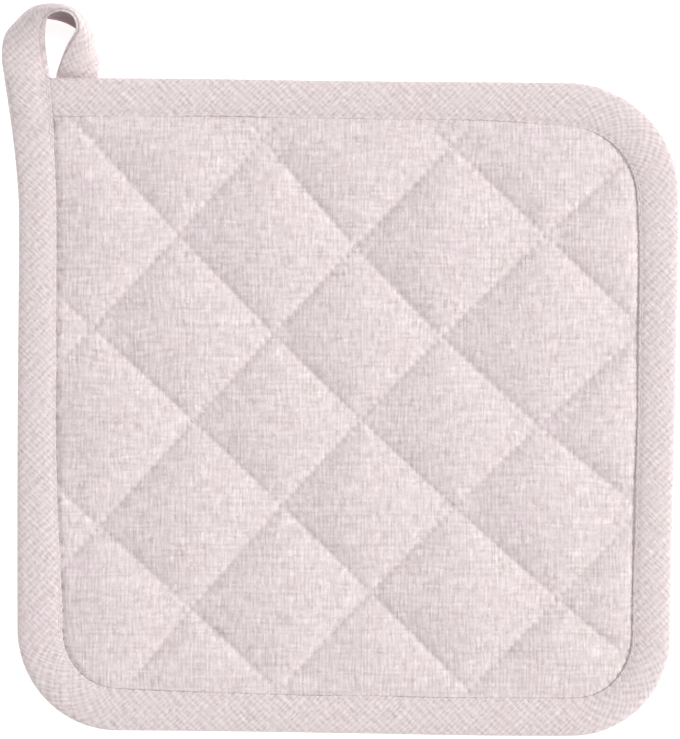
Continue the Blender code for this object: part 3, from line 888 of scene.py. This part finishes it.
def padSheet(cellSteps, rings, grading):
    # a flat net of triangles with edges along the seams
    points, edges = [], []
    for ring in rings:
        numbers = list(range(len(points), len(points) + len(ring)))
        points += list(ring)
        edges += list(zip(numbers, numbers[1:] + numbers[:1]))
    low, high = quilt["latticeReach"]
    ticks = np.arange(low * cellSteps, high * cellSteps + 1)
    u, v = np.meshgrid(ticks, ticks, indexing="ij")
    x, y = latticePoint(graded(u / cellSteps, grading), graded(v / cellSteps, grading))
    kept = pastTape(x, y) > quilt["latticeFrom"]
    numbers = np.full(x.shape, -1)
    numbers[kept] = len(points) + np.arange(kept.sum())
    points += list(np.stack((x[kept], y[kept]), axis=1))
    both = (numbers[:, :-1] >= 0) & (numbers[:, 1:] >= 0) & (u[:, :-1] % cellSteps == 0)
    edges += list(zip(numbers[:, :-1][both], numbers[:, 1:][both]))
    both = (numbers[:-1] >= 0) & (numbers[1:] >= 0) & (v[:-1] % cellSteps == 0)
    edges += list(zip(numbers[:-1][both], numbers[1:][both]))
    edges = [(int(a), int(b)) for a, b in edges]
    rim = list(range(len(rings[0])))
    sheet = delaunay_2d_cdt([Vector(p) for p in points], edges, [rim], 1, 1e-5)
    return np.array([tuple(p) for p in sheet[0]]), sheet[2]


# The filling swells the cloth between its seams: a cloth simulation of one face, ten times life size.
filling = {
    "cellSteps": 22,  # points from seam to seam
    "edge": (-1.0, 1.7),  # how far inside the tape's edge it ends, and its step there
    "heldTo": 0.6,  # it is held under the tape and this far inside its edge
    "startShare": 0.84,  # of the full height
    "spareCloth": 0.040,  # the cloth is cut this much larger than the space between its seams
    "settings": {
        "quality": 6, "mass": 0.05, "tension_stiffness": 18.0, "compression_stiffness": 18.0,
        "shear_stiffness": 6.0, "bending_stiffness": 0.6, "vertex_group_mass": "held",
        "use_pressure": True, "uniform_pressure_force": 24.0,
    },
    "frames": 20,
    "mostMove": 1.6,
    "lifeSize": 0.01,  # metres for a millimetre while it is simulated
}


def clothModifier(cloth, cutOut):
    modifier = cloth.modifiers.new("cloth", "CLOTH")
    for name, value in filling["settings"].items():
        setattr(modifier.settings, name, value)
    modifier.settings.rest_shape_key = cutOut
    modifier.settings.effector_weights.gravity = 0.0
    modifier.collision_settings.use_collision = False
    modifier.point_cache.frame_start = 1
    modifier.point_cache.frame_end = filling["frames"]


def fillCloth():
    # each point's move, on a grid of the lattice's places
    steps = filling["cellSteps"]
    flat, triangles = padSheet(steps, [padRing(*filling["edge"])], 0.0)
    x, y = flat.T
    full = padRelief(x, y)[0]
    z = quilt["seamHalf"] + (quilt["crownAbove"] - quilt["seamHalf"]) * full * filling["startShare"]
    start = np.stack((x, y, z), axis=1)
    mesh = bpy.data.meshes.new("filledCloth")
    mesh.from_pydata(start * filling["lifeSize"], [], triangles)
    cloth = addObject("filledCloth", mesh)
    cloth.shape_key_add(name="sewn")
    cutOut = cloth.shape_key_add(name="cutOut")
    cutSize = filling["lifeSize"] * (1.0 + filling["spareCloth"])
    cutOut.data.foreach_set("co", np.column_stack((flat * cutSize, np.zeros(len(flat)))).ravel())

    falling, rising = latticePlace(x, y)
    held = pastTape(x, y) < filling["heldTo"]
    for place, rows in ((falling, quilt["fallingSeams"]), (rising, quilt["risingSeams"])):
        nearest = np.clip(np.round(place), rows[0][0], rows[-1][0])
        held |= np.abs(place - nearest) < 0.2 / steps
    group = cloth.vertex_groups.new(name="held")
    group.add([int(index) for index in np.flatnonzero(held)], 1.0, "REPLACE")

    clothModifier(cloth, cutOut)
    scene = bpy.context.scene
    for frameNumber in range(1, filling["frames"] + 1):
        scene.frame_set(frameNumber)
    evaluated = cloth.evaluated_get(bpy.context.evaluated_depsgraph_get())
    settled = np.empty(len(flat) * 3, np.float32)
    evaluated.data.vertices.foreach_get("co", settled)
    moved = settled.reshape(-1, 3) / filling["lifeSize"] - start
    scene.frame_set(1)
    bpy.data.objects.remove(cloth)
    bpy.data.meshes.remove(mesh)
    reach = np.linalg.norm(moved, axis=1, keepdims=True)
    moved *= filling["mostMove"] / np.maximum(reach, filling["mostMove"])
    average, most = round(float(reach.mean()), 2), round(float(reach.max()), 2)
    print("cloth filled: moves on average", average, "mm, at most", most)

    low, high = quilt["latticeReach"]
    count = (high - low) * steps + 1
    grid = np.zeros((3, count, count))
    across, down = (falling - low) * steps, (rising - low) * steps
    onGrid = (np.abs(across - np.round(across)) < 0.05) & (np.abs(down - np.round(down)) < 0.05)
    across, down = (np.round(place[onGrid]).astype(int) for place in (across, down))
    grid[:, down, across] = moved[onGrid].T
    return grid


def fillingMove(grid, x, y):
    falling, rising = latticePlace(x, y)
    low = quilt["latticeReach"][0]
    u, v = (falling - low) * filling["cellSteps"], (rising - low) * filling["cellSteps"]
    return [readGrid(layer, u, v) for layer in grid]


def makePad():
    moves = fillCloth()
    rim = (tape["fold"] + tape["padClear"] - tape["width"], quilt["rimStep"])
    rings = [padRing(past, step) for past, step in (rim, *quilt["rings"])]
    points, faces, starts, flatPlaces = [], [], [], []
    for side, cellSteps in ((1.0, quilt["cellSteps"]), (-1.0, quilt["cellSteps"] // 2)):
        flat, triangles = padSheet(cellSteps, rings, quilt["cellGrading"])
        x, y = flat.T
        z = padHeight(x, y, side, filling["startShare"])
        moveX, moveY, moveZ = fillingMove(moves, x, y)
        z = np.maximum(z + side * moveZ, quilt["lowest"])
        starts.append(len(points))
        points += list(np.stack((x + moveX, y + moveY, z), axis=1))
        flatPlaces += list(flat)
        faces += [[starts[-1] + index for index in face] for face in triangles]
    top, under = starts
    for index in range(len(rings[0])):  # the rim that the tape hides
        after = (index + 1) % len(rings[0])
        faces.append([top + index, top + after, under + after, under + index])
    return meshObject("quiltedPad", points, faces, panelCloth, flatPlaces)


pad = makePad()
print("quilted pad made:", len(pad.data.polygons), "faces")


# Lockstitches of one soft cotton thread, on both faces, from needle hole to needle hole.
stitches = {
    "threadSize": 0.46,
    "height": 0.20,  # the middle of a stitch over its ends
    "sink": 0.14,  # the ends' depth in the needle holes
    "share": 0.90,  # how much of the way from hole to hole shows
    "turn": 5.0,  # degrees that a stitch may lie askew
    "sewThrough": 0.8,  # the quilting ends this far from the tape
    "threadColour": (0.72, 0.63, 0.635),
    "finish": {"Roughness": 0.7, "Sheen Weight": 0.15},
    "toneScale": 900.0,
    "strandScale": 4000.0,
    "strandHeight": 0.05,
}


def threadMaterial():
    material, tree, shader = newMaterial("thread", stitches["finish"])
    place = addNode(tree, "ShaderNodeTexCoord").outputs["Object"]
    uneven = {"Vector": place, "Scale": stitches["toneScale"], "Detail": 1.0}
    uneven = output(tree, "ShaderNodeTexNoise", uneven)
    tone = output(tree, "ShaderNodeMapRange", {0: uneven, 1: 0.3, 2: 0.7, 3: 0.9, 4: 1.1})
    tree.links.new(scaled(tree, stitches["threadColour"], tone), shader.inputs["Base Color"])
    strands = output(tree, "ShaderNodeTexNoise", {"Vector": place, "Scale": stitches["strandScale"]})
    bump = {"Height": strands, "Strength": 0.5, "Distance": stitches["strandHeight"] * mm}
    tree.links.new(output(tree, "ShaderNodeBump", bump), shader.inputs["Normal"])
    return material


thread = threadMaterial()


def stitchTree():
    # one curved stitch on every edge of a mesh whose points are the needle holes
    tree = bpy.data.node_groups.new("stitchRow", "GeometryNodeTree")
    addSockets(
        tree, "INPUT", Geometry=("Geometry",), Float=("Thread Size", "Height", "Sink", "Share", "Turn"),
        Int=("Seed",), Material=("Material",),
    )
    addSockets(tree, "OUTPUT", Geometry=("Geometry",))
    given = addNode(tree, "NodeGroupInput").outputs

    ends = addNode(tree, "GeometryNodeInputMeshEdgeVertices").outputs
    run = vectorMaths(tree, "SUBTRACT", ends["Position 2"], ends["Position 1"])
    captured = addNode(tree, "GeometryNodeCaptureAttribute", domain="EDGE")
    captured.capture_items.new("VECTOR", "Run")
    tree.links.new(given["Geometry"], captured.inputs["Geometry"])
    tree.links.new(run, captured.inputs["Run"])
    edges, run = captured.outputs["Geometry"], captured.outputs["Run"]
    points = output(tree, "GeometryNodeMeshToPoints", {"Mesh": edges}, mode="EDGES")

    down = maths(tree, "MULTIPLY", given["Sink"], -1.0)
    bow = {
        "Resolution": 6,
        "Start": combined(tree, x=-0.5, z=down),
        "Middle": combined(tree, z=maths(tree, "MULTIPLY", given["Height"], 2.0)),
        "End": combined(tree, x=0.5, z=down),
    }
    circle = {"Resolution": 6, "Radius": maths(tree, "MULTIPLY", given["Thread Size"], 0.5)}
    stitch = {
        "Curve": output(tree, "GeometryNodeCurveQuadraticBezier", bow),
        "Profile Curve": output(tree, "GeometryNodeCurvePrimitiveCircle", circle),
        "Fill Caps": True,
    }
    stitch = output(tree, "GeometryNodeCurveToMesh", stitch)

    direction = {"axis": "X", "pivot_axis": "AUTO"}
    direction = output(tree, "FunctionNodeAlignRotationToVector", {"Vector": run}, **direction)
    length = addNode(tree, "ShaderNodeVectorMath", {0: run}, operation="LENGTH").outputs["Value"]
    scale = combined(tree, maths(tree, "MULTIPLY", length, given["Share"]), 1.0, 1.0)
    least = maths(tree, "MULTIPLY", given["Turn"], -1.0)
    askew = {2: least, 3: given["Turn"], "Seed": given["Seed"]}
    askew = addNode(tree, "FunctionNodeRandomValue", askew, data_type="FLOAT").outputs[1]
    swing = output(tree, "FunctionNodeAxisAngleToRotation", {"Axis": (0.0, 0.0, 1.0), "Angle": askew})
    turned = {0: direction, 1: swing}
    turned = output(tree, "FunctionNodeRotateRotation", turned, rotation_space="LOCAL")
    placed = {"Points": points, "Instance": stitch, "Rotation": turned, "Scale": scale}
    placed = output(tree, "GeometryNodeInstanceOnPoints", placed)
    solid = output(tree, "GeometryNodeRealizeInstances", {0: placed})
    smooth = output(tree, "GeometryNodeSetShadeSmooth", {"Geometry": solid})
    finished = {"Geometry": smooth, "Material": given["Material"]}
    finished = output(tree, "GeometryNodeSetMaterial", finished)
    addNode(tree, "NodeGroupOutput", {0: finished})
    return tree


stitchRow = stitchTree()


def sewStitches(name, runs, side, seed):
    # runs are rows of needle holes in millimetres; the underside's stitches hang the other way up
    points, edges = [], []
    for run in runs:
        first = len(points)
        points += [(x + square["middle"][0], y + square["middle"][1], z) for x, y, z in run]
        edges += [(first + index, first + index + 1) for index in range(len(run) - 1)]
    mesh = bpy.data.meshes.new(name)
    mesh.from_pydata(np.array(points) * mm, edges, [])
    holder = addObject(name, mesh)
    modifier = holder.modifiers.new("stitches", "NODES")
    modifier.node_group = stitchRow
    values = {
        "Thread Size": stitches["threadSize"] * mm,
        "Height": side * stitches["height"] * mm,
        "Sink": side * stitches["sink"] * mm,
        "Share": stitches["share"],
        "Turn": math.radians(stitches["turn"]),
        "Seed": seed,
        "Material": thread,
    }
    for item in stitchRow.interface.items_tree:
        if item.in_out == "INPUT" and item.name in values:
            modifier[item.identifier] = values[item.name]
    holder.update_tag()
    bpy.context.view_layer.update()
    made = bpy.data.meshes.new_from_object(holder.evaluated_get(bpy.context.evaluated_depsgraph_get()))
    holder.modifiers.remove(modifier)
    holder.data = made
    made.name = name
    return facesOutwards(holder)


def quiltingRuns(side):
    runs = []
    low, high = quilt["latticeReach"]
    for rows, step, pitch, isFalling in (
        (quilt["fallingSeams"], rightStep, quilt["fallingPitch"], True),
        (quilt["risingSeams"], leftStep, quilt["risingPitch"], False),
    ):
        turns = np.arange(math.ceil(low * step / pitch), math.floor(high * step / pitch))
        for number, *_ in rows:
            along = (turns * pitch - number * quilt["seamOffset"]) / step
            line = np.full(along.shape, float(number))
            x, y = latticePoint(line, along) if isFalling else latticePoint(along, line)
            kept = pastTape(x, y) > stitches["sewThrough"]
            runs.append(np.stack((x, y, padHeight(x, y, side)), axis=1)[kept])
    return [run for run in runs if len(run) > 1]


def bindingRuns(side):
    # along the tape's row of stitches, as far as it is sewn
    turns = stitchTurn(tapeAlong)
    lastTurn = math.floor(turns[tapeTable[:, columns["sewn"]] > 0.99][-1])
    stations = np.interp(np.arange(math.ceil(turns[0]) + 1, lastTurn + 1), turns, tapeAlong)
    spot = tapeSpots[foldIndex - int(side) * tape["seamRow"]]
    return [np.column_stack([np.interp(stations, tapeAlong, spot[:, axis]) for axis in range(3)])]


sewn = []
for side, sideName, seed in ((1.0, "Top", 11), (-1.0, "Under", 12)):
    sewn.append(sewStitches("quiltStitches" + sideName, quiltingRuns(side), side, seed))
    sewn.append(sewStitches("tapeStitches" + sideName, bindingRuns(side), side, seed + 20))
print("stitches sewn:", sum(len(piece.data.polygons) for piece in sewn), "faces")


studio = {
    "cameraHeight": 1.25,
    "aim": (-0.0001, -0.0003),
    "viewHeight": 0.2254,  # the picture's height at the pot holder's middle height
    "keyPlace": (2.75, 0.55, 2.05),
    "keySize": 1.6,
    "keyPower": 77.0,
    "fillStrength": 0.73,
    "floorHalf": 1.5,
    "floorFinish": {
        "Base Color": (0.85, 0.85, 0.85, 1.0), "Roughness": 0.9, "Specular IOR Level": 0.1,
        "Emission Color": (1.0, 1.0, 1.0, 1.0),
        "Emission Strength": 0.6,  # the white base is softly lit from below
    },
}


def makeFloor():
    mesh = bpy.data.meshes.new("floor")
    half = studio["floorHalf"]
    corners = [(x * half, y * half, 0) for x, y in ((-1, -1), (1, -1), (1, 1), (-1, 1))]
    mesh.from_pydata(corners, [], [(0, 1, 2, 3)])
    mesh.materials.append(newMaterial("floorPaper", studio["floorFinish"])[0])
    addObject("floor", mesh)


def makeCamera():
    data = bpy.data.cameras.new("camera")
    data.sensor_fit = "VERTICAL"
    distance = studio["cameraHeight"] - square["seamHeight"] * mm
    data.angle_y = 2 * math.atan(studio["viewHeight"] / 2 / distance)
    camera = addObject("camera", data)
    camera.location = (*studio["aim"], studio["cameraHeight"])
    bpy.context.scene.camera = camera


def makeLight():
    data = bpy.data.lights.new("key", "AREA")
    data.size = studio["keySize"]
    data.energy = studio["keyPower"]
    key = addObject("key", data)
    key.location = studio["keyPlace"]
    key.rotation_euler = (-Vector(studio["keyPlace"])).to_track_quat("-Z", "Y").to_euler()
    world = bpy.data.worlds.new("studio")
    world.use_nodes = True
    sky = world.node_tree.nodes["Background"].inputs
    sky["Color"].default_value = (1.0, 1.0, 1.0, 1.0)
    sky["Strength"].default_value = studio["fillStrength"]
    bpy.context.scene.world = world
    bpy.context.scene.view_settings.view_transform = "Standard"


makeFloor()
makeCamera()
makeLight()
print("studio made")


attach(pad, "root")
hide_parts("quilted_pad")
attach(tapePiece, "root")
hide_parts("binding", "hanging_loop")
for piece in sewn:
    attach(piece, "root")
